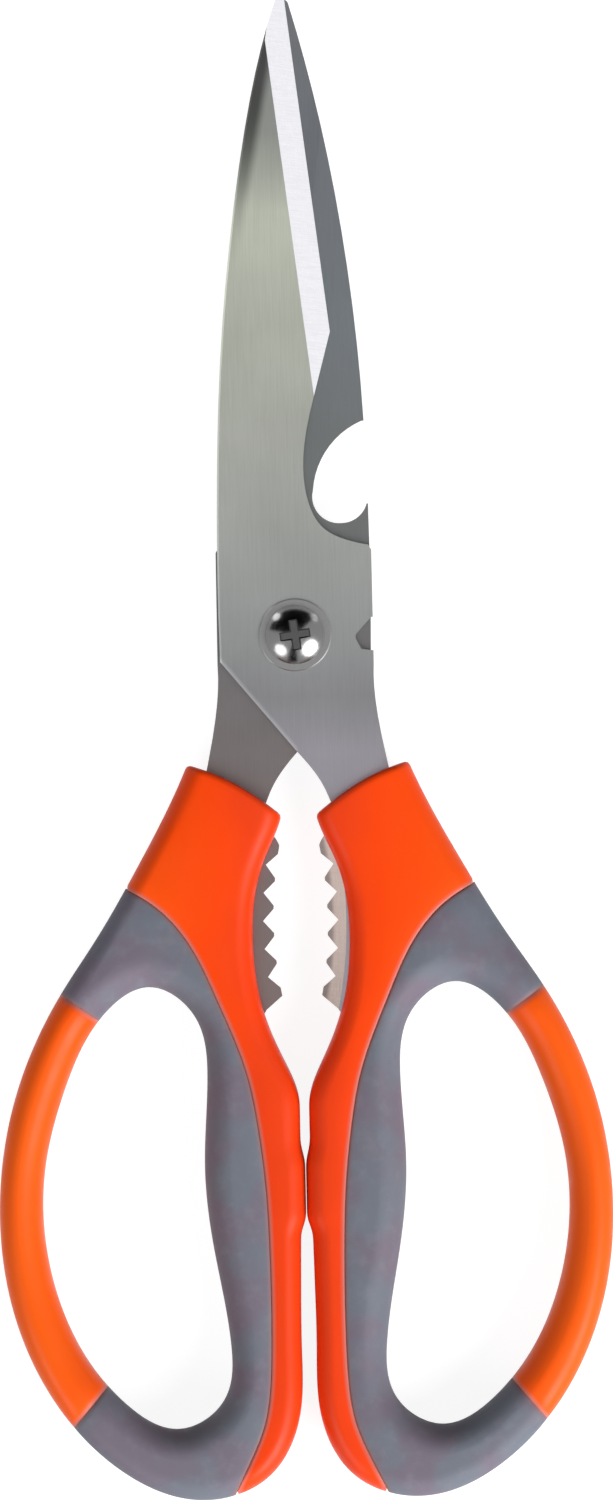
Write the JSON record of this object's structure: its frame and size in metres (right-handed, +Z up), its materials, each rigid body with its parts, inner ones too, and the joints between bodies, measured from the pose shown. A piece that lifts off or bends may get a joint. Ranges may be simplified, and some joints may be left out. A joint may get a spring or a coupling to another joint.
{
  "type": "kitchen shears",
  "caption": "Kitchen shears with ground steel blades, a bottle-opener notch, toothed nutcracker jaws and two-colour moulded finger-loop handles.",
  "frame": {"origin": "bottom centre of the closed shears lying flat on a table, on the plane of the flat backs of the handles", "axes": "+X to the right across the shears, +Y from the finger loops to the blade tips, +Z up from the table through the front blade's outer face"},
  "size_m": [0.086, 0.2102, 0.0105],
  "materials": {
    "blade_steel": "fine lengthwise brushing, brighter ground bevels",
    "pivot_steel": "polished",
    "core_plastic": "orange, satin gloss",
    "grip_rubber": "grey, matt soft touch"
  },
  "bodies": {
    "rear_half": {"rear_blade": "blade_steel", "left_handle_core": "core_plastic", "left_grip": "grip_rubber", "pivot_nut": "pivot_steel", "spring_washer": "pivot_steel", "head_washer": "pivot_steel", "pivot_screw": "pivot_steel"},
    "front_half": {"front_blade": "blade_steel", "right_handle_core": "core_plastic", "right_grip": "grip_rubber"}
  },
  "joints": [
    {"name": "blade_pivot", "type": "hinge", "parent": "rear_half", "child": "front_half", "pos_m": [0, 0.01565, 0.00525], "axis": [0, 0, 1], "range_deg": [0, 110]}
  ]
}
